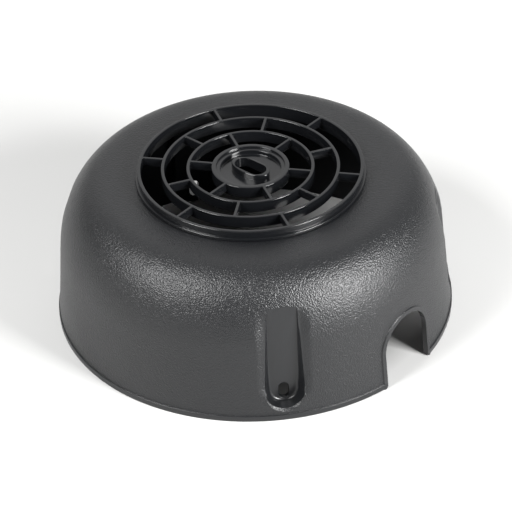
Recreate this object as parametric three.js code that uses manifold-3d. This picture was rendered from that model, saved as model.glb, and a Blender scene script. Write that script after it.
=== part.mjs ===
// Fan cowl of an electric motor: a domed, drafted shell with a cable arch and four screw
// pockets, and a round grille that is bonded into the opening of its crown.
// Millimetres, +Z up. The origin is the centre of the open bottom edge and the cable arch
// faces -Y. Azimuths are in degrees from -Y towards +X.

import * as THREE from 'three';
import { mergeVertices } from 'three/addons/utils/BufferGeometryUtils.js';
import Module from 'manifold-3d';

const wasm = await Module();
wasm.setup();

// Overall size and facets
const BASE_RADIUS = 100;
const TOP_Z = 81.7;
const GAP = 0.3;
const FACETS = 72;
const EDGE_CHAMFER = 0.4;
const FINE_CHAMFER = 0.3;

// Reach of a cutting body beyond the surface that it cuts
const CUT_MARGIN = 1;
const OPEN_END = 5;

// Shell: a drafted wall that turns over a full shoulder into a nearly flat crown
const WALL = 2.4;
const WALL_FOOT_RADIUS = 99.45;
const WALL_DRAFT = 0.074;
const SHOULDER_START_Z = 39.6;
const SHOULDER_END_RADIUS = 70.25;
const SHOULDER_TOP_Z = 76.05;
const SHOULDER_POWER = 2 / 2.258;
const SHOULDER_STEPS = 14;
const CROWN_Z = 76.3;
const CROWN_OPENING_RADIUS = 56;

// Raised edge band along the bottom and round the cable arch
const BAND_HEIGHT = 3.2;
const BAND_WIDTH = 2.4;
const BAND_PROUD = 0.5;

// Cable arch
const ARCH_HALF_WIDTH = 15.9;
const ARCH_SPRING_Z = 18.7;

// Screw pockets: a flat upright floor, flared sides and a half-round bottom. The sides
// flare more in the upper part of the pocket, which starts in a half-round of its own.
const POCKET_AZIMUTHS = [-40.9, 40.9, 151.5, -151.5];
const POCKET_FLOOR = 91.3;
const POCKET_HALF_WIDTH = 7.3;
const POCKET_FLARE = 0.34;
const POCKET_BOTTOM_Z = 5.9;
const POCKET_UPPER_FLARE = 0.5;
const POCKET_UPPER_BOTTOM_Z = 9;
const POCKET_ARC_STEPS = 12;
const SCREW_SLOT_WIDTH = 5.2;
const SCREW_SLOT_Z = [7, 16.3];

// Grille: stepped rim, two rings, a hub ring and three rows of six spokes
const GRILLE_DEPTH = 6;
const FLANGE_RADIUS = 57.2;
const FLANGE_TOP_Z = 78.2;
const RIM_RADIUS = 56.2;
const RIM_INNER_RADIUS = 54.4;
const SPIGOT_DEPTH = 7.2;
const RING_WIDTH = 1.7;
const OUTER_RING_RADIUS = 43.5;
const INNER_RING_RADIUS = 30.9;
const SPOKE_WIDTH = 1.5;
const SPOKE_DEPTH = 4.7;
const SPOKES_PER_ROW = 6;

// Hub: a dished disc with an oval boss round a slot; spokes run into the rim and the hub
const HUB_RADIUS = 19.3;
const HUB_LAND_RADIUS = 17;
const HUB_DISC_RADIUS = 15.1;
const HUB_STEP_Z = TOP_Z - 1.1;
const HUB_DISC_Z = TOP_Z - 3.4;
const HUB_DISC_THICKNESS = 2;
const BOSS_TOP_Z = TOP_Z - GAP;
const BOSS_LENGTH = 22.4;
const BOSS_WIDTH = 12.2;
const SLOT_LENGTH = 17.8;
const SLOT_WIDTH = 9.3;
const RIM_BURIED = 0.8;
const HUB_BURIED = 1;

const radians = THREE.MathUtils.degToRad;

// A closed geometry becomes a solid that can be joined and cut.
function solid(geometry) {
  const bare = geometry.clone();
  bare.deleteAttribute('normal');
  bare.deleteAttribute('uv');
  const merged = mergeVertices(bare, 1e-4);
  return new wasm.Manifold(new wasm.Mesh({
    numProp: 3,
    vertProperties: new Float32Array(merged.attributes.position.array),
    triVerts: new Uint32Array(merged.index.array),
  }));
}

function meshOf(name, body, material) {
  const { vertProperties, triVerts } = body.getMesh();
  const geometry = new THREE.BufferGeometry();
  geometry.setAttribute('position', new THREE.BufferAttribute(vertProperties, 3));
  geometry.setIndex(new THREE.BufferAttribute(triVerts, 1));
  geometry.computeVertexNormals();
  const mesh = new THREE.Mesh(geometry, material);
  mesh.name = name;
  return mesh;
}

// A turned solid: [radius, z] points, going up the outside.
function turned(points) {
  const profile = points.map(([radius, z]) => new THREE.Vector2(radius, z));
  return solid(new THREE.LatheGeometry(profile, FACETS).rotateX(Math.PI / 2));
}

function turnedRing(innerRadius, outerRadius, bottomZ, topZ) {
  return turned([
    [innerRadius, bottomZ],
    [outerRadius, bottomZ],
    [outerRadius, topZ],
    [innerRadius, topZ],
    [innerRadius, bottomZ],
  ]);
}

// A flat outline extruded upwards from bottomZ to topZ.
function upright(shape, bottomZ, topZ) {
  const geometry = new THREE.ExtrudeGeometry(shape, {
    depth: topZ - bottomZ,
    bevelEnabled: false,
    curveSegments: 12,
  });
  return solid(geometry.translate(0, 0, bottomZ));
}

// A slot shape with round ends, its length along +Y.
function oblong(width, length) {
  const radius = width / 2;
  const straight = length / 2 - radius;
  const shape = new THREE.Shape();
  shape.absarc(0, straight, radius, 0, Math.PI, false);
  shape.absarc(0, -straight, radius, Math.PI, 2 * Math.PI, false);
  shape.closePath();
  return shape;
}

function oval(width, length) {
  return new THREE.Shape().absellipse(0, 0, width / 2, length / 2, 0, 2 * Math.PI);
}

function wallRadius(z) {
  return WALL_FOOT_RADIUS - WALL_DRAFT * (z - BAND_HEIGHT);
}

// The outside of the dome, from the foot of the wall to the crown's opening.
function domeProfile() {
  const points = [new THREE.Vector2(wallRadius(0), 0)];
  for (let step = 0; step <= SHOULDER_STEPS; step += 1) {
    const turn = (step / SHOULDER_STEPS) * (Math.PI / 2);
    const rise = Math.sin(turn) ** SHOULDER_POWER;
    const z = SHOULDER_START_Z + (SHOULDER_TOP_Z - SHOULDER_START_Z) * rise;
    const reach = Math.max(Math.cos(turn), 0) ** SHOULDER_POWER;
    const radius = SHOULDER_END_RADIUS + (wallRadius(z) - SHOULDER_END_RADIUS) * reach;
    points.push(new THREE.Vector2(radius, z));
  }
  points.push(new THREE.Vector2(CROWN_OPENING_RADIUS - 2, CROWN_Z));
  return points;
}

// The same profile moved along its own normals, outwards for a positive distance.
function offsetProfile(points, distance) {
  return points.map((point, index) => {
    const before = points[Math.max(index - 1, 0)];
    const after = points[Math.min(index + 1, points.length - 1)];
    const along = after.clone().sub(before).normalize();
    return point.clone().add(new THREE.Vector2(along.y, -along.x).multiplyScalar(distance));
  });
}

function asPairs(points) {
  return points.map((point) => [point.x, point.y]);
}

function domeBody() {
  const dome = asPairs(domeProfile()).filter(([, z]) => z > BAND_HEIGHT);
  return turned([
    [0, 0],
    [BASE_RADIUS - EDGE_CHAMFER, 0],
    [BASE_RADIUS, EDGE_CHAMFER],
    [BASE_RADIUS, BAND_HEIGHT - FINE_CHAMFER],
    [wallRadius(BAND_HEIGHT), BAND_HEIGHT],
    ...dome,
    [0, CROWN_Z],
  ]);
}

function domeHollow() {
  const lining = asPairs(offsetProfile(domeProfile(), -WALL)).slice(1);
  return turned([
    [0, -CUT_MARGIN],
    [wallRadius(0) - WALL, -CUT_MARGIN],
    [wallRadius(0) - WALL, 0],
    ...lining,
    [0, CROWN_Z - WALL],
  ]);
}

function archShape(margin) {
  const halfWidth = ARCH_HALF_WIDTH + margin;
  const shape = new THREE.Shape();
  shape.moveTo(-halfWidth, -CUT_MARGIN);
  shape.lineTo(halfWidth, -CUT_MARGIN);
  shape.absarc(0, ARCH_SPRING_Z, halfWidth, 0, Math.PI, false);
  shape.closePath();
  return shape;
}

// An outline in X and Z, extruded through the front wall.
function throughFront(shape) {
  const geometry = new THREE.ExtrudeGeometry(shape, {
    depth: BASE_RADIUS / 2,
    bevelEnabled: false,
    curveSegments: 24,
  });
  return solid(geometry.rotateX(Math.PI / 2).translate(0, -BASE_RADIUS * 0.7, 0));
}

// The band round the arch is a patch of the wall, moved out by the band's height.
function archBand() {
  const wall = domeProfile().slice(0, 3);
  const outside = asPairs(offsetProfile(wall, BAND_PROUD));
  const inside = asPairs(offsetProfile(wall, -WALL / 2)).reverse();
  const sleeve = turned([...inside.slice(-1), ...outside, ...inside]);
  const lowest = turnedRing(0, BASE_RADIUS + CUT_MARGIN, -CUT_MARGIN, 0);
  return sleeve.intersect(throughFront(archShape(BAND_WIDTH))).subtract(lowest);
}

// One U-shaped outline of a pocket, standing at a distance from the part's axis.
function pocketOutline(distance, halfWidth, bottomZ) {
  const outline = [];
  for (let step = 0; step <= POCKET_ARC_STEPS; step += 1) {
    const turn = Math.PI + (step / POCKET_ARC_STEPS) * Math.PI;
    const x = halfWidth * Math.cos(turn);
    const z = bottomZ + halfWidth + halfWidth * Math.sin(turn);
    outline.push(new THREE.Vector3(x, -distance, z));
  }
  outline.push(new THREE.Vector3(halfWidth, -distance, TOP_Z + OPEN_END));
  outline.push(new THREE.Vector3(-halfWidth, -distance, TOP_Z + OPEN_END));
  return outline;
}

// A closed body between two outlines of equally many points, the first one at the back.
function loft(back, front) {
  const count = back.length;
  const points = [...back, ...front];
  const faces = [];
  for (let i = 0; i < count; i += 1) {
    const next = (i + 1) % count;
    faces.push(i, count + next, next, i, count + i, count + next);
  }
  for (let i = 1; i < count - 1; i += 1) {
    faces.push(0, i, i + 1, count, count + i + 1, count + i);
  }
  const geometry = new THREE.BufferGeometry().setFromPoints(points);
  geometry.setIndex(faces.map((_, k) => faces[faces.length - 1 - k]));
  return solid(geometry);
}

// The pocket's room; margin grows it into the liner that closes the pocket off inside.
function pocketRoom(azimuth, margin, lowestZ, flare) {
  const back = POCKET_FLOOR - margin;
  const front = BASE_RADIUS + CUT_MARGIN;
  const halfWidth = POCKET_HALF_WIDTH + margin;
  const flared = halfWidth + flare * (front - back);
  const bottomZ = lowestZ - margin;
  const room = loft(
    pocketOutline(back, halfWidth, bottomZ),
    pocketOutline(front, flared, bottomZ),
  );
  return room.rotate([0, 0, azimuth]);
}

function screwSlot(azimuth) {
  const [bottomZ, topZ] = SCREW_SLOT_Z;
  const shape = oblong(SCREW_SLOT_WIDTH, topZ - bottomZ);
  const geometry = new THREE.ExtrudeGeometry(shape, {
    depth: 3 * WALL,
    bevelEnabled: false,
    curveSegments: 10,
  });
  geometry.rotateX(Math.PI / 2);
  geometry.translate(0, -(POCKET_FLOOR - 2 * WALL), (bottomZ + topZ) / 2);
  geometry.rotateZ(radians(azimuth));
  return solid(geometry);
}

function cowlShell() {
  let outside = domeBody();
  let hollow = domeHollow();
  for (const azimuth of POCKET_AZIMUTHS) {
    outside = outside.subtract(pocketRoom(azimuth, 0, POCKET_BOTTOM_Z, POCKET_FLARE));
    outside = outside.subtract(pocketRoom(azimuth, 0, POCKET_UPPER_BOTTOM_Z, POCKET_UPPER_FLARE));
    hollow = hollow.subtract(pocketRoom(azimuth, WALL, POCKET_BOTTOM_Z, POCKET_FLARE));
  }
  let shell = outside.subtract(hollow).add(archBand());
  shell = shell.subtract(throughFront(archShape(0)));
  const opening = [CROWN_Z - 2 * WALL, CROWN_Z + OPEN_END];
  shell = shell.subtract(turnedRing(0, CROWN_OPENING_RADIUS, ...opening));
  for (const azimuth of POCKET_AZIMUTHS) {
    shell = shell.subtract(screwSlot(azimuth));
  }
  return shell;
}

// The rim's flange rests on the crown and its spigot drops into the crown's opening.
function grilleRim() {
  const spigotRadius = CROWN_OPENING_RADIUS - GAP;
  const spigotZ = TOP_Z - SPIGOT_DEPTH;
  return turned([
    [RIM_INNER_RADIUS, spigotZ],
    [spigotRadius, spigotZ],
    [spigotRadius, CROWN_Z + GAP],
    [FLANGE_RADIUS, CROWN_Z + GAP],
    [FLANGE_RADIUS, FLANGE_TOP_Z - FINE_CHAMFER],
    [FLANGE_RADIUS - FINE_CHAMFER, FLANGE_TOP_Z],
    [RIM_RADIUS, FLANGE_TOP_Z],
    [RIM_RADIUS, TOP_Z - EDGE_CHAMFER],
    [RIM_RADIUS - EDGE_CHAMFER, TOP_Z],
    [RIM_INNER_RADIUS, TOP_Z],
    [RIM_INNER_RADIUS, spigotZ],
  ]);
}

function grilleRing(radius) {
  const half = RING_WIDTH / 2;
  return turnedRing(radius - half, radius + half, TOP_Z - GRILLE_DEPTH, TOP_Z);
}

function spokeRow(innerRadius, outerRadius, firstAzimuth) {
  const length = outerRadius - innerRadius;
  const spokes = [];
  for (let index = 0; index < SPOKES_PER_ROW; index += 1) {
    const geometry = new THREE.BoxGeometry(SPOKE_WIDTH, length, SPOKE_DEPTH);
    geometry.translate(0, -(innerRadius + length / 2), TOP_Z - SPOKE_DEPTH / 2);
    geometry.rotateZ(radians(firstAzimuth + (360 / SPOKES_PER_ROW) * index));
    spokes.push(solid(geometry));
  }
  return spokes;
}

function grilleHub() {
  const discBottomZ = HUB_DISC_Z - HUB_DISC_THICKNESS;
  const dish = turned([
    [0, discBottomZ],
    [HUB_DISC_RADIUS, discBottomZ],
    [HUB_DISC_RADIUS, TOP_Z - GRILLE_DEPTH],
    [HUB_RADIUS, TOP_Z - GRILLE_DEPTH],
    [HUB_RADIUS, TOP_Z],
    [HUB_LAND_RADIUS, TOP_Z],
    [HUB_LAND_RADIUS, HUB_STEP_Z],
    [HUB_DISC_RADIUS, HUB_STEP_Z],
    [HUB_DISC_RADIUS, HUB_DISC_Z],
    [0, HUB_DISC_Z],
  ]);
  const boss = upright(oval(BOSS_WIDTH, BOSS_LENGTH), discBottomZ, BOSS_TOP_Z);
  const slotEnds = [discBottomZ - CUT_MARGIN, TOP_Z + CUT_MARGIN];
  const slot = upright(oblong(SLOT_WIDTH, SLOT_LENGTH), ...slotEnds);
  return dish.add(boss).subtract(slot);
}

function grilleInsert() {
  const pieces = [
    grilleRing(OUTER_RING_RADIUS),
    grilleRing(INNER_RING_RADIUS),
    ...spokeRow(OUTER_RING_RADIUS, RIM_INNER_RADIUS + RIM_BURIED, 30),
    ...spokeRow(INNER_RING_RADIUS, OUTER_RING_RADIUS, 0),
    ...spokeRow(HUB_RADIUS - HUB_BURIED, INNER_RING_RADIUS, 30),
    grilleHub(),
  ];
  return pieces.reduce((whole, piece) => whole.add(piece), grilleRim());
}

const grained = new THREE.MeshStandardMaterial({
  color: 0x2c2d2f,
  roughness: 0.62,
  metalness: 0,
});
const smooth = new THREE.MeshStandardMaterial({
  color: 0x232426,
  roughness: 0.34,
  metalness: 0,
});

const cowl = new THREE.Group();
cowl.add(meshOf('cowl_shell', cowlShell(), grained));
cowl.add(meshOf('grille_insert', grilleInsert(), smooth));

export default cowl;
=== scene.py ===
"""A motor fan cowl: a grained plastic dome with a smooth grille in its crown, in a studio."""

import math

import bpy
import numpy as np
from bpy.props import FloatProperty, FloatVectorProperty, IntProperty, StringProperty
from mathutils import Euler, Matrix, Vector


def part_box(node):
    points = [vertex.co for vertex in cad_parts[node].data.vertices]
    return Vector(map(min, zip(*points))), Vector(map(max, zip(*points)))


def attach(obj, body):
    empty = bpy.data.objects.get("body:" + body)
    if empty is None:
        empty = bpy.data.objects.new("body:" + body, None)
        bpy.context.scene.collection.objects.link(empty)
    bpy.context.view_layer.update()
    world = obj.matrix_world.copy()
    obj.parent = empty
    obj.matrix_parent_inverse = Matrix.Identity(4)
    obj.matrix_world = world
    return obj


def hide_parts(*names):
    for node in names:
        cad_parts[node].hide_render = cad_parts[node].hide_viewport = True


bl_info = {
    "name": "Motor Fan Cowl",
    "version": (1, 0, 0),
    "blender": (4, 5, 0),
    "location": "3D View > Sidebar > Fan Cowl",
    "description": "Builds a moulded motor fan cowl with its grille, and a studio round it",
    "category": "Object",
}

MM = 0.001
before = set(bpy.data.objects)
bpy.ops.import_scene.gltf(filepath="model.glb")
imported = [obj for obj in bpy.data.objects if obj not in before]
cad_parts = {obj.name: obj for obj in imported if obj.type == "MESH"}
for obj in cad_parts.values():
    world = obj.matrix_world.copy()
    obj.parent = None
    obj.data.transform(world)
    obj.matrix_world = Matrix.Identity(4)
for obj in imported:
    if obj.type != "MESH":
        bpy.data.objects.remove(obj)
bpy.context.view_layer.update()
SHELL_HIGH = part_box("cowl_shell")[1]
GRILLE_LOW, GRILLE_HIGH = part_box("grille_insert")
BODY = "root"

# The pockets stand in two pairs, mirrored about the plane through the cable arch.
POCKET_AZIMUTHS = [math.radians(angle) for angle in (-40.9, 40.9, 151.5, -151.5)]

# Fits and small roundings that the mould gives the two pieces.
FIT_GAP = 0.3 * MM  # between the insert and the shell
BOSS_SUNK = 0.3 * MM  # boss below the grille's top
BOSS_ROUND = 0.55 * MM
FLANGE_FOOT_ROUND = 0.1 * MM
DISC_ROUND = 0.2 * MM
DISH_ROUND = 0.4 * MM
FOOT_ROUND = 0.5 * MM  # bottom outer edge of the band
BAND_ROUND = 0.25 * MM
BAND_STEP = 0.2 * MM  # stepped edge of the band round the arch
ARCH_FOOT_ROUND = 1.8 * MM  # where the arch runs out into the bottom edge
CROWN_OVERLAP = 2 * MM  # crown carried in past the edge of its opening

# Solids that are joined reach into each other, and tools reach past what they cut.
RIM_BURIED = 0.8 * MM
HUB_BURIED = MM
OVERSHOOT = 5 * MM
OPENING_DEPTH = 8 * MM
MERGE = 0.01 * MM
WELD = 1e-6

# The wall rolls over beside each pocket; the roll fades in and out between these heights.
FLANK_FADE_IN = (11 * MM, 19 * MM)
FLANK_FADE_OUT = (50 * MM, 61 * MM)
FLANK_CURVE = 1.5
FLANK_INSET = 4 * MM

# Where the mould's grain stops: it fades over these depths below the outer skin.
GRAIN_FADE = (1.4 * MM, 2.6 * MM)
RAISED = -0.2 * MM  # skin that stands proud of the wall has a weaker grain
RAISED_GRAIN = 0.4
INSIDE_DEPTH = 1.2 * MM

# Faces round each curve.
CORNER_STEPS = 4
SPOKE_CORNER_STEPS = 3
SLOT_STEPS = 24
POCKET_STEPS = 28
ARCH_STEPS = 64
ARCH_FOOT_STEPS = 6
BOSS_STEPS = 72
FLOOR_CUT_COLUMNS = 32
HUB_COLUMNS = 180
RING_COLUMNS = 240
RIM_COLUMNS = 288

# Each softbox has its azimuth from the camera's, its elevation, its width in m and its power.
SOFTBOXES = {
    "softbox_right": (math.radians(54), math.radians(25), 0.62, 64),
    "softbox_left": (math.radians(-58), math.radians(42), 0.7, 36),
}
SOFTBOX_DISTANCE = 1.6
WALL_HEIGHT = math.radians(37)  # elevation of the pale wall's middle
WALL_EDGE = (0.55, 0.95)  # cosines where the wall starts and where it is full
FLOOR_SIZE = 8
# Radii over which the painted shade under the cowl fades into the paper.
PAINTED_SHADE_EDGE = (70 * MM, 92 * MM)


def length(name, millimetres, description):
    """A length property that is given in millimetres."""
    return FloatProperty(
        name=name,
        description=description,
        default=millimetres * MM,
        unit="LENGTH",
        precision=5,
    )


class ShellSizes(bpy.types.PropertyGroup):
    """Sizes of the grained shell."""

    foot_radius: length("Foot radius", 99.45, "Outside of the wall just above the edge band")
    draft: FloatProperty(name="Draft", description="Inward lean of the wall", default=0.074)
    shoulder_z: length("Shoulder start", 39.6, "Height where the wall starts to turn over")
    shoulder_radius: length("Shoulder end", 70.25, "Radius where the shoulder meets the crown")
    shoulder_top: length("Shoulder top", 76.05, "Height where the shoulder meets the crown")
    shoulder_power: FloatProperty(
        name="Shoulder fullness",
        description="Power of the shoulder's superellipse; 2 is a plain ellipse",
        default=2.258,
    )
    opening_radius: length("Crown opening", 56.0, "Radius of the hole that takes the grille")
    wall: length("Wall", 2.4, "Thickness of the moulding")
    band_height: length("Band height", 3.2, "Height of the raised band along the bottom edge")
    band_width: length("Band width", 2.4, "Width of the raised band round the cable arch")
    band_proud: length("Band relief", 0.5, "How far the band stands out of the wall")
    arch_half_width: length("Arch half width", 15.9, "Half the width of the cable arch")
    arch_spring: length("Arch spring", 18.7, "Height where the arch's round top starts")
    columns: IntProperty(name="Columns", description="Columns of faces round it", default=720)


class PocketSizes(bpy.types.PropertyGroup):
    """Sizes of the four screw pockets."""

    floor: length("Floor", 91.3, "Distance of the upright floor from the cowl's axis")
    half_width: length("Half width", 7.3, "Half the width of the floor")
    flare: FloatProperty(name="Flare", description="Outward lean of the sides", default=0.34)
    bottom_z: length("Bottom", 5.9, "Height of the half-round bottom's lowest line")
    upper_flare: FloatProperty(
        name="Upper flare", description="Outward lean of the sides above the bottom", default=0.5
    )
    upper_bottom_z: length("Upper bottom", 9.0, "Height where the wider flare starts")
    lip_depth: length("Lip depth", 0.8, "Depth of the chamfer round the half-round bottom")
    floor_round: length("Floor corner", 1.3, "Radius of the corner along the floor")
    flank_reach: length("Flank reach", 13.4, "Half the width over the rolled-over flanks")
    flank_drop: length("Flank drop", 2.3, "Depth of the flanks where the sides start")
    slot_width: length("Slot width", 5.2, "Width of the screw slot")
    slot_low: length("Slot bottom", 7.0, "Height of the screw slot's lower end")
    slot_high: length("Slot top", 16.3, "Height of the screw slot's upper end")


class GrilleSizes(bpy.types.PropertyGroup):
    """Sizes of the grille insert."""

    depth: length("Depth", 6.0, "Depth of the rings")
    spigot_depth: length("Spigot depth", 7.2, "Depth of the rim with its spigot")
    flange_top: length("Flange top", 78.2, "Height of the flange that lies on the crown")
    rim_radius: length("Rim radius", 56.2, "Outside radius of the rim above its flange")
    rim_inner: length("Rim inner radius", 54.4, "Inside radius of the rim")
    ring_width: length("Ring width", 1.7, "Width of the two rings")
    outer_ring: length("Outer ring", 43.5, "Middle radius of the outer ring")
    inner_ring: length("Inner ring", 30.9, "Middle radius of the inner ring")
    spoke_width: length("Spoke width", 1.5, "Width of the spokes")
    spoke_depth: length("Spoke depth", 4.7, "Depth of the spokes")
    hub_radius: length("Hub radius", 19.3, "Outside radius of the hub ring")
    hub_land: length("Hub land", 17.0, "Inside radius of the hub ring's flat top")
    hub_disc: length("Hub disc", 15.1, "Radius of the dished disc")
    hub_step: length("Hub step", 1.1, "Depth of the first step below the top")
    hub_dish: length("Hub dish", 3.4, "Depth of the disc below the top")
    disc_thickness: length("Disc thickness", 2.0, "Thickness of the disc")
    boss_length: length("Boss length", 22.4, "Length of the oval boss")
    boss_width: length("Boss width", 12.2, "Width of the oval boss")
    slot_length: length("Slot length", 17.8, "Length of the slot in the boss")
    slot_width: length("Slot width", 9.3, "Width of the slot in the boss")
    edge_round: length("Edge rounding", 0.35, "Radius of the mould's edges")
    spokes: IntProperty(name="Spokes", description="Spokes in each row", default=6)


class Finishes(bpy.types.PropertyGroup):
    """Colours and grain of the two plastics."""

    grained_colour: StringProperty(
        name="Grained colour", description="sRGB hex of the grained plastic", default="#151618"
    )
    smooth_colour: StringProperty(
        name="Smooth colour", description="sRGB hex of the smooth plastic", default="#101113"
    )
    floor_colour: StringProperty(
        name="Floor colour", description="sRGB hex of the studio floor", default="#C8C8C7"
    )
    # A real eroded grain is finer and many times shallower. This one is coarse enough to show,
    # and its height is set by how far it has to break up the highlights.
    grain_pitch: length("Grain pitch", 0.62, "Distance between the pits of the grain")
    grain_height: length("Grain height", 0.24, "Height of the grain")
    grained_edge: length("Grained edge", 0.45, "Radius of the grained piece's shaded edges")
    smooth_edge: length("Smooth edge", 0.22, "Radius of the smooth piece's shaded edges")
    gloss_drift: length("Gloss drift", 18.0, "Size of the patches where the gloss changes")
    flow_marks: length("Flow marks", 6.0, "Size of the flow marks in the smooth piece")
    scuff_size: length("Scuff size", 0.5, "Size of the smooth piece's scuffs")
    scuff_depth: length("Scuff depth", 0.004, "Depth of the smooth piece's scuffs")
    paper_mottle: length("Paper mottle", 40.0, "Size of the floor's faint mottling")


class StudioSettings(bpy.types.PropertyGroup):
    """Camera and lights."""

    azimuth: FloatProperty(
        name="Camera azimuth",
        description="Azimuth of the camera from -Y towards +X",
        default=math.radians(-48.45),
        subtype="ANGLE",
    )
    elevation: FloatProperty(
        name="Camera elevation",
        description="Height of the camera above the floor as an angle",
        default=math.radians(36.858),
        subtype="ANGLE",
    )
    roll: FloatProperty(
        name="Camera roll",
        description="Lean of the camera about its line of sight",
        default=math.radians(-2.104),
        subtype="ANGLE",
    )
    distance: length("Camera distance", 1534.3, "Distance of the camera from the origin")
    aim: FloatVectorProperty(
        name="Aim",
        description="Point in the middle of the view: to the camera's right, 0, up",
        default=(1.1 * MM, 0, 26.4 * MM),
        subtype="XYZ",
    )
    lens: FloatProperty(name="Lens", description="Focal length in mm", default=211.5)
    sky: FloatProperty(name="Room light", description="Brightness of the room", default=0.13)
    wall: FloatProperty(name="Wall light", description="Brightness of the wall behind", default=1.0)


def settings(context):
    """All sizes and colours, by group."""
    return context.scene.fan_cowl


class FanCowlSettings(bpy.types.PropertyGroup):
    """Everything that the cowl and its studio are made from."""

    shell: bpy.props.PointerProperty(type=ShellSizes, name="Shell", description="Shell sizes")
    pocket: bpy.props.PointerProperty(type=PocketSizes, name="Pockets", description="Pockets")
    grille: bpy.props.PointerProperty(type=GrilleSizes, name="Grille", description="Grille")
    finish: bpy.props.PointerProperty(type=Finishes, name="Finishes", description="Finishes")
    studio: bpy.props.PointerProperty(type=StudioSettings, name="Studio", description="Studio")


# ---------------------------------------------------------------- modelling by hand


def select_only(piece):
    """Makes the piece the only selected object."""
    bpy.ops.object.select_all(action="DESELECT")
    piece.select_set(True)
    bpy.context.view_layer.objects.active = piece


def edit(piece):
    """Opens the piece in edit mode with everything deselected."""
    select_only(piece)
    bpy.ops.object.mode_set(mode="EDIT")
    bpy.ops.mesh.select_all(action="DESELECT")


def select_edges(piece, test):
    """Selects the edges whose two ends both pass the test, in edge mode."""
    bpy.ops.mesh.select_mode(type="EDGE")
    bpy.ops.object.mode_set(mode="OBJECT")
    points = [vertex.co for vertex in piece.data.vertices]
    for edge in piece.data.edges:
        edge.select = all(test(points[index]) for index in edge.vertices)
    bpy.ops.object.mode_set(mode="EDIT")


def trace(name, points):
    """A chain of edges through the points: a plane merged to one vertex and extruded on."""
    bpy.ops.object.select_all(action="DESELECT")
    bpy.ops.mesh.primitive_plane_add(size=MM, location=points[0])
    bpy.ops.object.transform_apply(location=True, rotation=True, scale=True)
    piece = bpy.context.active_object
    piece.name = name
    bpy.ops.object.mode_set(mode="EDIT")
    bpy.ops.mesh.select_mode(type="VERT")
    bpy.ops.mesh.select_all(action="SELECT")
    bpy.ops.mesh.merge(type="CENTER")
    for start, end in zip(points, points[1:]):
        bpy.ops.mesh.extrude_vertices_move(TRANSFORM_OT_translate={"value": end - start})
    bpy.ops.mesh.select_all(action="SELECT")
    return piece


def spin(name, section, columns):
    """A turned body: a closed (radius, height) section spun round the Z axis."""
    piece = trace(name, [Vector((radius, 0, height)) for radius, height in section])
    bpy.ops.mesh.spin(steps=columns, angle=2 * math.pi, center=(0, 0, 0), axis=(0, 0, 1))
    bpy.ops.mesh.select_all(action="SELECT")
    bpy.ops.mesh.remove_doubles(threshold=WELD)
    bpy.ops.mesh.normals_make_consistent(inside=False)
    bpy.ops.object.mode_set(mode="OBJECT")
    return piece


def prism(name, outline, along, widen=1.0, about=(0, 0, 0)):
    """A flat outline filled and extruded; its far end may be widened about a point."""
    piece = trace(name, outline + [outline[0]])
    bpy.ops.mesh.remove_doubles(threshold=WELD)
    bpy.ops.mesh.edge_face_add()
    bpy.ops.mesh.extrude_region_move(TRANSFORM_OT_translate={"value": along})
    if widen != 1.0:
        bpy.ops.transform.resize(value=(widen, 1, widen), center_override=about)
    bpy.ops.mesh.select_all(action="SELECT")
    bpy.ops.mesh.normals_make_consistent(inside=False)
    bpy.ops.object.mode_set(mode="OBJECT")
    return piece


def turn(piece, angle):
    """Turns the piece about the Z axis and puts the turn into its mesh."""
    select_only(piece)
    piece.rotation_euler.z = angle
    bpy.ops.object.transform_apply(location=True, rotation=True, scale=True)
    return piece


def combine(piece, tool, operation):
    """Joins, cuts or intersects the piece with the tool, which is used up."""
    modifier = piece.modifiers.new(operation.lower(), "BOOLEAN")
    modifier.operation = operation
    modifier.solver = "MANIFOLD"
    modifier.object = tool
    select_only(piece)
    bpy.ops.object.modifier_apply(modifier=modifier.name)
    bpy.data.objects.remove(tool)
    return piece


def rounded(corners, segments=CORNER_STEPS):
    """Section points from (radius, height, rounding) corners, in order."""
    points = []
    places = [Vector(corner[:2]) for corner in corners]
    for index, corner in enumerate(corners):
        here = places[index]
        if corner[2] == 0:
            points.append(here)
            continue
        back = (places[index - 1] - here).normalized()
        ahead = (places[(index + 1) % len(places)] - here).normalized()
        half = back.angle(ahead) / 2
        start = here + back * corner[2] / math.tan(half)
        end = here + ahead * corner[2] / math.tan(half)
        centre = here + (back + ahead).normalized() * corner[2] / math.sin(half)
        for step in range(segments + 1):
            towards = (start - centre).slerp(end - centre, step / segments)
            points.append(centre + towards * corner[2])
    return [tuple(point) for point in points]


def closed(section):
    """The section with its first point again at the end."""
    return section + [section[0]]


def oblong(width, long, place, steps=SLOT_STEPS):
    """Points round a slot shape with half-round ends; place(across, along) sets each one."""
    radius = width / 2
    straight = long / 2 - radius
    points = []
    for side in (1, -1):
        for step in range(steps + 1):
            turned = math.pi * step / steps
            across = side * radius * math.cos(turned)
            points.append(place(across, side * (straight + radius * math.sin(turned))))
    return points


def finish_mesh(piece, sharp_angle):
    """Merges slivers, makes sure that the piece is closed and smooths its shading."""
    edit(piece)
    bpy.ops.mesh.select_all(action="SELECT")
    bpy.ops.mesh.remove_doubles(threshold=MERGE)
    bpy.ops.mesh.select_all(action="DESELECT")
    bpy.ops.mesh.select_mode(type="EDGE")
    bpy.ops.mesh.select_non_manifold()
    bpy.ops.object.mode_set(mode="OBJECT")
    loose = sum(edge.select for edge in piece.data.edges)
    if loose:
        raise RuntimeError(f"{piece.name} has {loose} open edges")
    bpy.ops.object.shade_smooth_by_angle(angle=math.radians(sharp_angle))


# ---------------------------------------------------------------- the grained shell


def wall_radius(shell, height):
    """Outside radius of the drafted wall at a height."""
    return shell.foot_radius - shell.draft * (height - shell.band_height)


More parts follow.
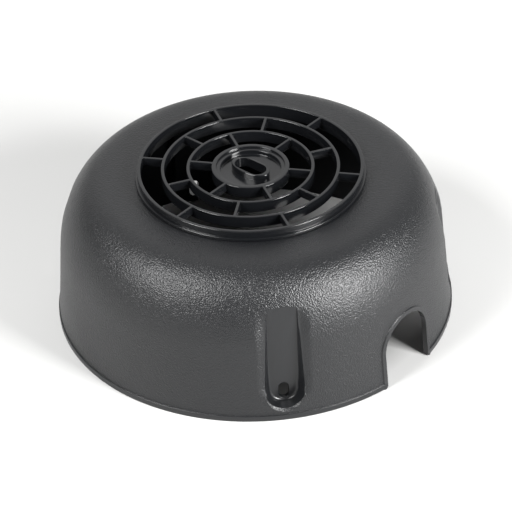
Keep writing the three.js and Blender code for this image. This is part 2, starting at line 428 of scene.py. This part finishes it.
def dome_profile(shell, wall_rows, shoulder_rows):
    """Outside of the dome from the band to the crown's opening, as (radius, height)."""
    points = []
    for row in range(wall_rows):
        share = row / wall_rows
        height = shell.band_height + share * (shell.shoulder_z - shell.band_height)
        points.append((wall_radius(shell, height), height))
    power = 2 / shell.shoulder_power
    for row in range(shoulder_rows + 1):
        turned = row / shoulder_rows * math.pi / 2
        rise = math.sin(turned) ** power
        height = shell.shoulder_z + rise * (shell.shoulder_top - shell.shoulder_z)
        reach = max(math.cos(turned), 0) ** power
        width = wall_radius(shell, height) - shell.shoulder_radius
        points.append((shell.shoulder_radius + width * reach, height))
    crown = SHELL_HIGH.z
    for share in (0.33, 0.67, 1.0):
        inner = shell.opening_radius - CROWN_OVERLAP
        radius = shell.shoulder_radius + share * (inner - shell.shoulder_radius)
        points.append((radius, shell.shoulder_top + share * (crown - shell.shoulder_top)))
    return points


def offset(profile, distance):
    """The profile moved along its own normals, outwards for a positive distance."""
    moved = []
    for index, (radius, height) in enumerate(profile):
        before = Vector(profile[max(index - 1, 0)])
        after = Vector(profile[min(index + 1, len(profile) - 1)])
        along = (after - before).normalized()
        moved.append((radius + along.y * distance, height - along.x * distance))
    return moved


def dome_solid(shell):
    """The dome as a solid, with the raised band along its bottom edge."""
    base = SHELL_HIGH.x
    band = shell.band_height
    corners = [
        (0, 0, 0),
        (base, 0, FOOT_ROUND),
        (base, band, BAND_ROUND),
        (wall_radius(shell, band), band, 0),
    ]
    edge = rounded(corners)
    profile = dome_profile(shell, wall_rows=24, shoulder_rows=52)[1:]
    return spin("cowl_moulding", edge + profile + [(0, SHELL_HIGH.z), (0, 0)], shell.columns)


def dome_hollow(shell):
    """The room inside the dome, to be cut out of it."""
    profile = offset(dome_profile(shell, wall_rows=6, shoulder_rows=26), -shell.wall)
    foot = wall_radius(shell, 0) - shell.wall
    below = -OVERSHOOT
    top = SHELL_HIGH.z - shell.wall
    section = [(0, below), (foot, below), (foot, 0), *profile[1:], (0, top), (0, below)]
    return spin("hollow", section, RING_COLUMNS)


def smoothstep(low, high, value):
    """0 up to low, 1 from high, and smooth between them."""
    share = np.clip((value - low) / (high - low), 0, 1)
    return share * share * (3 - 2 * share)


def roll_flanks(piece, pocket):
    """Rolls the wall over along both sides of each pocket, where its sides will start."""
    places = np.empty(len(piece.data.vertices) * 3, np.float32)
    piece.data.vertices.foreach_get("co", places)
    places = places.reshape(-1, 3).astype(float)
    side = pocket.half_width + pocket.flare * (SHELL_HIGH.x - FLANK_INSET - pocket.floor)
    for azimuth in POCKET_AZIMUTHS:
        outwards = np.array([math.sin(azimuth), -math.cos(azimuth)])
        across = np.array([math.cos(azimuth), math.sin(azimuth)])
        distance = places[:, :2] @ outwards
        aside = np.abs(places[:, :2] @ across)
        share = np.clip((pocket.flank_reach - aside) / (pocket.flank_reach - side), 0, 1)
        height = places[:, 2]
        fade = smoothstep(*FLANK_FADE_IN, height) * (1 - smoothstep(*FLANK_FADE_OUT, height))
        this_side = distance > 0.8 * pocket.floor
        drop = pocket.flank_drop * share**FLANK_CURVE * fade * this_side
        places[:, :2] -= drop[:, None] * outwards
    piece.data.vertices.foreach_set("co", places.astype(np.float32).ravel())
    piece.data.update()


def pocket_room(pocket, azimuth, margin, bottom_z, flare):
    """The room of a pocket; a margin grows it into the liner that closes it off inside."""
    half = pocket.half_width + margin
    floor = pocket.floor - margin
    bottom = bottom_z - margin
    top = GRILLE_HIGH.z + OVERSHOOT
    outline = [Vector((half, -floor, top)), Vector((-half, -floor, top))]
    for step in range(POCKET_STEPS + 1):
        turned = math.pi * (1 + step / POCKET_STEPS)
        height = bottom + half + half * math.sin(turned)
        outline.append(Vector((half * math.cos(turned), -floor, height)))
    depth = SHELL_HIGH.x + 2 * MM - floor
    widen = 1 + flare * depth / half
    about = (0, -floor, bottom)
    room = prism("pocket_room", outline, Vector((0, -depth, 0)), widen, about)
    if margin == 0:
        edit(room)
        select_edges(room, lambda point: point.y > -floor - MERGE and point.z < top - MM)
        bpy.ops.mesh.bevel(offset=pocket.floor_round, segments=CORNER_STEPS, affect="EDGES")
        bpy.ops.object.mode_set(mode="OBJECT")
    return turn(room, azimuth)


def pocket_lip(pocket, shell, azimuth):
    """The chamfer round the pocket's half-round bottom, as a body to be cut away."""
    back = wall_radius(shell, 2 * pocket.bottom_z) - pocket.lip_depth
    half = pocket.half_width + pocket.flare * (back - pocket.floor)
    middle = pocket.bottom_z + half
    top = shell.arch_spring + MM
    outline = [Vector((half, -back, top)), Vector((-half, -back, top))]
    for step in range(POCKET_STEPS + 1):
        turned = math.pi * (1 + step / POCKET_STEPS)
        outline.append(Vector((half * math.cos(turned), -back, middle + half * math.sin(turned))))
    reach = 3 * pocket.lip_depth
    lip = prism("lip", outline, Vector((0, -reach, 0)), 1 + reach / half, (0, -back, middle))
    return turn(lip, azimuth)


def screw_slot(pocket, shell, azimuth):
    """The upright slot that a pocket's screw goes through."""
    middle = (pocket.slot_low + pocket.slot_high) / 2
    start = -(pocket.floor - 2 * shell.wall)
    outline = oblong(
        pocket.slot_width,
        pocket.slot_high - pocket.slot_low,
        lambda across, along: Vector((across, start, middle + along)),
    )
    return turn(prism("screw_slot", outline, Vector((0, -3 * shell.wall, 0))), azimuth)


def arch_prism(shell, margin, foot_round):
    """The cable arch's outline, grown by a margin, as a solid through the front wall."""
    half = shell.arch_half_width + margin
    spring = shell.arch_spring
    start = -0.7 * SHELL_HIGH.x
    outline = [Vector((-half - foot_round, start, -MM)), Vector((half + foot_round, start, -MM))]
    foot = []
    for step in range(ARCH_FOOT_STEPS + 1 if foot_round else 0):
        turned = math.radians(90 / ARCH_FOOT_STEPS * step)
        across = half + foot_round * (1 - math.sin(turned))
        foot.append(Vector((across, start, foot_round * (1 - math.cos(turned)))))
    outline += foot
    for step in range(ARCH_STEPS + 1):
        turned = math.pi * step / ARCH_STEPS
        height = spring + half * math.sin(turned)
        outline.append(Vector((half * math.cos(turned), start, height)))
    outline += [Vector((-point.x, start, point.z)) for point in reversed(foot)]
    return prism("arch", outline, Vector((0, -0.5 * SHELL_HIGH.x, 0)))


def arch_band(shell, proud, margin):
    """A patch of the wall round the cable arch, standing proud of it."""
    upwards = dome_profile(shell, wall_rows=4, shoulder_rows=52)[1:8]
    profile = [(wall_radius(shell, 0.0), 0.0)] + upwards
    outside = offset(profile, proud)
    inside = offset(profile, -shell.wall / 2)
    sleeve = spin("band", closed(inside[::-1] + outside), shell.columns)
    wide = 0.2
    below = [(0, -OVERSHOOT), (wide, -OVERSHOOT), (wide, 0), (0, 0)]
    floor_cut = spin("floor_cut", closed(below), FLOOR_CUT_COLUMNS)
    combine(sleeve, arch_prism(shell, margin, 0), "INTERSECT")
    return combine(sleeve, floor_cut, "DIFFERENCE")


def per_face(piece, what):
    """An attribute of the faces as an array of vectors."""
    values = np.empty(len(piece.data.polygons) * 3, np.float32)
    piece.data.polygons.foreach_get(what, values)
    return values.reshape(-1, 3)


def mark_finish(piece, shell):
    """Face attributes: "grain" is 1 where the mould is eroded, "inside" 1 on the inner side."""
    outside = np.array(dome_profile(shell, wall_rows=40, shoulder_rows=200))
    centres = per_face(piece, "center")
    normals = per_face(piece, "normal")
    radius = np.hypot(centres[:, 0], centres[:, 1])
    height = centres[:, 2]
    order = np.argsort(outside[:, 1])
    wall = np.interp(height, outside[order, 1], outside[order, 0])
    on_crown = height > shell.shoulder_top - MM
    sunk = np.where(on_crown, SHELL_HIGH.z - height, wall - radius)
    outwards = (centres[:, :2] * normals[:, :2]).sum(axis=1) / np.maximum(radius, MM)
    outer = (outwards > 0.5) | (normals[:, 2] > 0.5)
    above_band = height > shell.band_height * 0.9
    grain = outer * (1 - smoothstep(*GRAIN_FADE, sunk)) * above_band
    grain *= np.where(sunk < RAISED, RAISED_GRAIN, 1)
    inner = (outwards < -0.3) | (normals[:, 2] < -0.3)
    # The inner side is marked here so that the material can paint shade on it.
    inside = (sunk > INSIDE_DEPTH) & inner
    for name, values in (("grain", grain), ("inside", inside)):
        attribute = piece.data.attributes.new(name, "FLOAT", "FACE")
        attribute.data.foreach_set("value", values.astype(np.float32))


class FANCOWL_OT_shell(bpy.types.Operator):
    """Model the grained shell with its pockets, its band and its cable arch"""

    bl_idname = "fancowl.shell"
    bl_label = "Cowl Shell"

    def execute(self, context):
        shell = settings(context).shell
        pocket = settings(context).pocket
        piece = dome_solid(shell)
        roll_flanks(piece, pocket)
        hollow = dome_hollow(shell)
        lower = (pocket.bottom_z, pocket.flare)
        upper = (pocket.upper_bottom_z, pocket.upper_flare)
        for azimuth in POCKET_AZIMUTHS:
            combine(piece, pocket_room(pocket, azimuth, 0, *lower), "DIFFERENCE")
            combine(piece, pocket_room(pocket, azimuth, 0, *upper), "DIFFERENCE")
            combine(piece, pocket_lip(pocket, shell, azimuth), "DIFFERENCE")
            combine(hollow, pocket_room(pocket, azimuth, shell.wall, *lower), "DIFFERENCE")
        combine(piece, hollow, "DIFFERENCE")
        proud, width = shell.band_proud, shell.band_width
        combine(piece, arch_band(shell, proud, width - BAND_STEP), "UNION")
        combine(piece, arch_band(shell, proud - BAND_STEP, width), "UNION")
        combine(piece, arch_prism(shell, 0, ARCH_FOOT_ROUND), "DIFFERENCE")
        low, high = SHELL_HIGH.z - OPENING_DEPTH, SHELL_HIGH.z + MM
        radius = shell.opening_radius
        opening = closed([(0, low), (radius, low), (radius, high), (0, high)])
        combine(piece, spin("opening", opening, RING_COLUMNS), "DIFFERENCE")
        for azimuth in POCKET_AZIMUTHS:
            combine(piece, screw_slot(pocket, shell, azimuth), "DIFFERENCE")
        finish_mesh(piece, sharp_angle=30)
        mark_finish(piece, shell)
        piece.data.materials.clear()
        piece.data.materials.append(grained_plastic(settings(context).finish))
        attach(piece, BODY)
        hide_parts("cowl_shell")
        return {"FINISHED"}


# ---------------------------------------------------------------- the grille


def grille_rim(shell, grille):
    """The stepped rim: a flange on the crown and a spigot in the crown's opening."""
    shift = GRILLE_HIGH.z - grille.spigot_depth - GRILLE_LOW.z
    top = GRILLE_HIGH.z
    spigot = shell.opening_radius - FIT_GAP
    seat = SHELL_HIGH.z + FIT_GAP + shift
    edge = grille.edge_round
    corners = [
        (grille.rim_inner, top - grille.spigot_depth, edge),
        (spigot, top - grille.spigot_depth, edge),
        (spigot, seat, 0),
        (GRILLE_HIGH.x, seat, FLANGE_FOOT_ROUND),
        (GRILLE_HIGH.x, grille.flange_top, edge),
        (grille.rim_radius, grille.flange_top, 0),
        (grille.rim_radius, top, edge),
        (grille.rim_inner, top, edge),
    ]
    return spin("grille_moulding", closed(rounded(corners)), RIM_COLUMNS)


def grille_ring(grille, radius):
    """A ring of the grille with rounded edges."""
    half = grille.ring_width / 2
    top = GRILLE_HIGH.z
    bottom = top - grille.depth
    edge = grille.edge_round
    corners = [
        (radius - half, bottom, edge),
        (radius + half, bottom, edge),
        (radius + half, top, edge),
        (radius - half, top, edge),
    ]
    return spin("ring", closed(rounded(corners)), RING_COLUMNS)


def spoke(grille, inner, outer, azimuth):
    """A spoke with rounded long edges, its ends inside the rings it joins."""
    top = GRILLE_HIGH.z
    half = grille.spoke_width / 2
    low = top - grille.spoke_depth
    corners = [(-half, low), (half, low), (half, top), (-half, top)]
    edge = grille.edge_round
    section = rounded([(*corner, edge) for corner in corners], SPOKE_CORNER_STEPS)
    outline = [Vector((across, -inner, height)) for across, height in section]
    return turn(prism("spoke", outline, Vector((0, inner - outer, 0))), azimuth)


def grille_hub(grille):
    """The dished hub with its oval, slotted boss."""
    top = GRILLE_HIGH.z
    disc = top - grille.hub_dish
    below = disc - grille.disc_thickness
    edge = grille.edge_round
    corners = [
        (0, below, 0),
        (grille.hub_disc, below, DISC_ROUND),
        (grille.hub_disc, top - grille.depth, DISC_ROUND),
        (grille.hub_radius, top - grille.depth, edge),
        (grille.hub_radius, top, edge),
        (grille.hub_land, top, edge),
        (grille.hub_land, top - grille.hub_step, DISC_ROUND),
        (grille.hub_disc, top - grille.hub_step, edge),
        (grille.hub_disc, disc, DISH_ROUND),
        (0, disc, 0),
    ]
    hub = spin("hub", closed(rounded(corners)), HUB_COLUMNS)
    boss_top = top - BOSS_SUNK
    outline = []
    for step in range(BOSS_STEPS):
        turned = 2 * math.pi * step / BOSS_STEPS
        across = grille.boss_width / 2 * math.cos(turned)
        outline.append(Vector((across, grille.boss_length / 2 * math.sin(turned), below)))
    boss = prism("boss", outline, Vector((0, 0, boss_top - below)))
    edit(boss)
    select_edges(boss, lambda point: point.z > boss_top - MERGE)
    bpy.ops.mesh.bevel(offset=BOSS_ROUND, segments=CORNER_STEPS, affect="EDGES")
    bpy.ops.object.mode_set(mode="OBJECT")
    combine(hub, boss, "UNION")
    hole = oblong(
        grille.slot_width,
        grille.slot_length,
        lambda across, along: Vector((across, along, below - MM)),
    )
    combine(hub, prism("slot", hole, Vector((0, 0, boss_top - below + 2 * MM))), "DIFFERENCE")
    return hub


class FANCOWL_OT_grille(bpy.types.Operator):
    """Model the smooth grille insert: rim, rings, spokes and the slotted hub"""

    bl_idname = "fancowl.grille"
    bl_label = "Grille Insert"

    def execute(self, context):
        shell = settings(context).shell
        grille = settings(context).grille
        piece = grille_rim(shell, grille)
        combine(piece, grille_ring(grille, grille.outer_ring), "UNION")
        combine(piece, grille_ring(grille, grille.inner_ring), "UNION")
        rows = [
            (grille.outer_ring, grille.rim_inner + RIM_BURIED, 0.5),
            (grille.inner_ring, grille.outer_ring, 0),
            (grille.hub_radius - HUB_BURIED, grille.inner_ring, 0.5),
        ]
        combine(piece, grille_hub(grille), "UNION")
        for inner, outer, shift in rows:
            for index in range(grille.spokes):
                azimuth = 2 * math.pi * (index + shift) / grille.spokes
                combine(piece, spoke(grille, inner, outer, azimuth), "UNION")
        finish_mesh(piece, sharp_angle=35)
        piece.data.materials.clear()
        piece.data.materials.append(smooth_plastic(settings(context).finish))
        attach(piece, BODY)
        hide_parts("grille_insert")
        return {"FINISHED"}


# ---------------------------------------------------------------- materials


def linear(hex_colour):
    """Linear RGBA from an sRGB hex colour."""
    channels = [int(hex_colour[i : i + 2], 16) / 255 for i in (1, 3, 5)]
    curve = [c / 12.92 if c <= 0.04045 else ((c + 0.055) / 1.055) ** 2.4 for c in channels]
    return (*curve, 1.0)


def shade(colour, share):
    """The colour made darker, its alpha left at 1."""
    return (*(channel * share for channel in colour[:3]), 1.0)


def node(material, kind, inputs=None, **options):
    """Adds a node with its settings, and sets or links its inputs."""
    made = material.node_tree.nodes.new(kind)
    for name, value in options.items():
        setattr(made, name, value)
    for name, value in (inputs or {}).items():
        if isinstance(value, bpy.types.NodeSocket):
            material.node_tree.links.new(value, made.inputs[name])
        else:
            made.inputs[name].default_value = value
    return made


def blank(name):
    """A material with an empty tree."""
    material = bpy.data.materials.new(name)
    material.use_nodes = True
    material.node_tree.nodes.clear()
    return material


def grained_plastic(finish):
    """Polypropylene from a spark-eroded mould: a fine, even skin of pits and bumps.

    The pits break each highlight into a sparkle and leave the shaded sides a flat charcoal.
    The inner side has no grain. It carries painted shade: it is made darker and less shiny than the
    plastic would be, so that the room under the dome stays dark.
    """
    material = blank("PP_black_spark_eroded_moulded")
    place = node(material, "ShaderNodeTexCoord").outputs["Object"]
    grain = node(material, "ShaderNodeAttribute", attribute_name="grain").outputs["Fac"]
    inside = node(material, "ShaderNodeAttribute", attribute_name="inside").outputs["Fac"]
    pitch = finish.grain_pitch
    pits = node(
        material,
        "ShaderNodeTexVoronoi",
        {"Vector": place, "Scale": 1 / pitch},
        feature="SMOOTH_F1",
    )
    bumps = node(
        material,
        "ShaderNodeTexNoise",
        {"Vector": place, "Scale": 1 / (1.3 * pitch), "Detail": 2.0, "Roughness": 0.55},
    )
    height = node(
        material,
        "ShaderNodeMath",
        {0: pits.outputs["Distance"], 1: bumps.outputs["Fac"]},
        operation="ADD",
    )
    eroded = node(
        material, "ShaderNodeMath", {0: height.outputs[0], 1: grain}, operation="MULTIPLY"
    )
    edges = node(material, "ShaderNodeBevel", {"Radius": finish.grained_edge}, samples=6)
    relief = node(
        material,
        "ShaderNodeBump",
        {
            "Height": eroded.outputs[0],
            "Distance": finish.grain_height,
            "Strength": 1.0,
            "Normal": edges.outputs["Normal"],
        },
    )
    drift = node(
        material,
        "ShaderNodeTexNoise",
        {"Vector": place, "Scale": 1 / finish.gloss_drift, "Detail": 2.0},
    )
    gloss = node(
        material,
        "ShaderNodeMapRange",
        {"Value": drift.outputs["Fac"], "To Min": 0.33, "To Max": 0.4},
    )
    polish = node(material, "ShaderNodeMapRange", {"Value": grain, "To Min": -0.04, "To Max": 0.0})
    rough = node(
        material,
        "ShaderNodeMath",
        {0: gloss.outputs[0], 1: polish.outputs[0]},
        operation="ADD",
    )
    base = linear(finish.grained_colour)
    skin = node(
        material,
        "ShaderNodeMixRGB",
        {"Fac": bumps.outputs["Fac"], "Color1": base, "Color2": shade(base, 0.8)},
    )
    # Painted shade: the inner side gets a colour far darker than the plastic's, and a weaker shine
    # below, so that the room under the dome stays dark.
    tint = node(
        material,
        "ShaderNodeMixRGB",
        {"Fac": inside, "Color1": skin.outputs["Color"], "Color2": shade(base, 0.35)},
    )
    shine = node(material, "ShaderNodeMapRange", {"Value": inside, "To Min": 0.5, "To Max": 0.12})
    shader = node(
        material,
        "ShaderNodeBsdfPrincipled",
        {
            "Base Color": tint.outputs["Color"],
            "Roughness": rough.outputs[0],
            "Specular IOR Level": shine.outputs[0],
            "IOR": 1.5,
            "Normal": relief.outputs["Normal"],
        },
    )
    node(material, "ShaderNodeOutputMaterial", {"Surface": shader.outputs["BSDF"]})
    return material


def smooth_plastic(finish):
    """Polypropylene from a polished mould: semi-gloss, with faint flow marks and scuffs."""
    material = blank("PP_black_polished_moulded")
    place = node(material, "ShaderNodeTexCoord").outputs["Object"]
    flow = node(
        material,
        "ShaderNodeTexNoise",
        {"Vector": place, "Scale": 1 / finish.flow_marks, "Detail": 4.0, "Distortion": 0.6},
    )
    scuffs = node(
        material,
        "ShaderNodeTexNoise",
        {"Vector": place, "Scale": 1 / finish.scuff_size, "Detail": 2.0},
    )
    edges = node(material, "ShaderNodeBevel", {"Radius": finish.smooth_edge}, samples=6)
    relief = node(
        material,
        "ShaderNodeBump",
        {
            "Height": scuffs.outputs["Fac"],
            "Distance": finish.scuff_depth,
            "Normal": edges.outputs["Normal"],
        },
    )
    gloss = node(
        material,
        "ShaderNodeMapRange",
        {"Value": flow.outputs["Fac"], "To Min": 0.12, "To Max": 0.2},
    )
    base = linear(finish.smooth_colour)
    tint = node(
        material,
        "ShaderNodeMixRGB",
        {"Fac": flow.outputs["Fac"], "Color1": base, "Color2": shade(base, 0.8)},
    )
    shader = node(
        material,
        "ShaderNodeBsdfPrincipled",
        {
            "Base Color": tint.outputs["Color"],
            "Roughness": gloss.outputs[0],
            "IOR": 1.5,
            "Normal": relief.outputs["Normal"],
        },
    )
    node(material, "ShaderNodeOutputMaterial", {"Surface": shader.outputs["BSDF"]})
    return material


def studio_paper(finish):
    """Matt white background paper, faintly mottled, with a grey patch of painted shade under the
    cowl.

    This painted shade keeps the inside of the cowl dark; its edge is feathered and stays under the
    wall.
    """
    material = blank("paper_white_matt")
    place = node(material, "ShaderNodeTexCoord").outputs["Object"]
    mottle = node(
        material,
        "ShaderNodeTexNoise",
        {"Vector": place, "Scale": 1 / finish.paper_mottle, "Detail": 2.0},
    )
    base = linear(finish.floor_colour)
    paper = node(
        material,
        "ShaderNodeMixRGB",
        {"Fac": mottle.outputs["Fac"], "Color1": base, "Color2": shade(base, 0.99)},
    )
    distance = node(material, "ShaderNodeVectorMath", {0: place}, operation="LENGTH")
    clear = node(
        material,
        "ShaderNodeMapRange",
        {"Value": distance.outputs["Value"], "From Min": PAINTED_SHADE_EDGE[0], "From Max": PAINTED_SHADE_EDGE[1]},
    )
    # Painted shade: under the cowl the paper is darkened to 40%, as if it lay in the cowl's shadow.
    tint = node(
        material,
        "ShaderNodeMixRGB",
        {"Fac": clear.outputs[0], "Color1": shade(base, 0.4), "Color2": paper.outputs["Color"]},
    )
    shader = node(
        material,
        "ShaderNodeBsdfPrincipled",
        {"Base Color": tint.outputs["Color"], "Roughness": 0.9},
    )
    node(material, "ShaderNodeOutputMaterial", {"Surface": shader.outputs["BSDF"]})
    return material


# ---------------------------------------------------------------- the studio


def rotation_z(angle):
    """A turn about the Z axis."""
    return Euler((0, 0, angle))


def softbox(name, azimuth, elevation, size, power):
    """A square area light on a sphere round the cowl, facing its middle."""
    distance = SOFTBOX_DISTANCE
    place = Vector((0, -distance * math.cos(elevation), distance * math.sin(elevation)))
    place.rotate(rotation_z(azimuth))
    bpy.ops.object.light_add(type="AREA", location=place)
    lamp = bpy.context.active_object
    lamp.name = name
    lamp.data.size = size
    lamp.data.energy = power
    target = Vector((0, 0, GRILLE_HIGH.z / 2))
    lamp.rotation_euler = (target - place).to_track_quat("-Z", "Y").to_euler()
    return lamp


class FANCOWL_OT_studio(bpy.types.Operator):
    """Set up the pale floor, the soft lights and the camera"""

    bl_idname = "fancowl.studio"
    bl_label = "Studio"

    def execute(self, context):
        studio = settings(context).studio
        bpy.ops.object.select_all(action="DESELECT")
        bpy.ops.mesh.primitive_grid_add(x_subdivisions=8, y_subdivisions=8, size=FLOOR_SIZE)
        floor = context.active_object
        floor.name = "floor"
        floor.data.materials.append(studio_paper(settings(context).finish))

        world = bpy.data.worlds.new("white_room")
        context.scene.world = world
        world.use_nodes = True
        # The room is dim but for a pale wall behind the cowl, which the crown mirrors.
        behind = Vector((0, math.cos(WALL_HEIGHT), math.sin(WALL_HEIGHT)))
        behind.rotate(rotation_z(studio.azimuth))
        way = node(world, "ShaderNodeTexCoord").outputs["Generated"]
        facing = node(world, "ShaderNodeVectorMath", {0: way, 1: behind}, operation="DOT_PRODUCT")
        light = node(
            world,
            "ShaderNodeMapRange",
            {
                "Value": facing.outputs["Value"],
                "From Min": WALL_EDGE[0],
                "From Max": WALL_EDGE[1],
                "To Min": studio.sky,
                "To Max": studio.wall,
            },
        )
        background = world.node_tree.nodes["Background"]
        background.inputs["Color"].default_value = (1, 1, 1, 1)
        world.node_tree.links.new(light.outputs[0], background.inputs["Strength"])

        for name, (azimuth, *rest) in SOFTBOXES.items():
            softbox(name, studio.azimuth + azimuth, *rest)

        place = Vector((0, -math.cos(studio.elevation), math.sin(studio.elevation)))
        place *= studio.distance
        aim = Vector(studio.aim)
        place.rotate(rotation_z(studio.azimuth))
        aim.rotate(rotation_z(studio.azimuth))
        bpy.ops.object.camera_add(location=place)
        camera = context.active_object
        camera.name = "camera"
        look = (aim - place).to_track_quat("-Z", "Y").to_matrix()
        camera.rotation_euler = (look @ rotation_z(studio.roll).to_matrix()).to_euler()
        camera.data.lens = studio.lens
        camera.data.sensor_width = 36
        camera.data.clip_end = 50
        context.scene.camera = camera
        context.scene.view_settings.view_transform = "Standard"
        return {"FINISHED"}


class FANCOWL_PT_panel(bpy.types.Panel):
    """Lists the steps that build the cowl"""

    bl_idname = "FANCOWL_PT_panel"
    bl_label = "Fan Cowl"
    bl_space_type = "VIEW_3D"
    bl_region_type = "UI"
    bl_category = "Fan Cowl"

    def draw(self, context):
        for operator in OPERATORS:
            self.layout.operator(operator.bl_idname)


OPERATORS = (FANCOWL_OT_studio, FANCOWL_OT_shell, FANCOWL_OT_grille)
GROUPS = (ShellSizes, PocketSizes, GrilleSizes, Finishes, StudioSettings, FanCowlSettings)


def register():
    """Registers the settings, the operators and the panel."""
    for cls in (*GROUPS, *OPERATORS, FANCOWL_PT_panel):
        bpy.utils.register_class(cls)
    bpy.types.Scene.fan_cowl = bpy.props.PointerProperty(type=FanCowlSettings)


def unregister():
    """Takes the settings, the operators and the panel away again."""
    del bpy.types.Scene.fan_cowl
    for cls in reversed((*GROUPS, *OPERATORS, FANCOWL_PT_panel)):
        bpy.utils.unregister_class(cls)


def main():
    """Builds the whole scene."""
    register()
    bpy.ops.fancowl.studio()
    bpy.ops.fancowl.shell()
    bpy.ops.fancowl.grille()


if __name__ == "__main__":
    main()
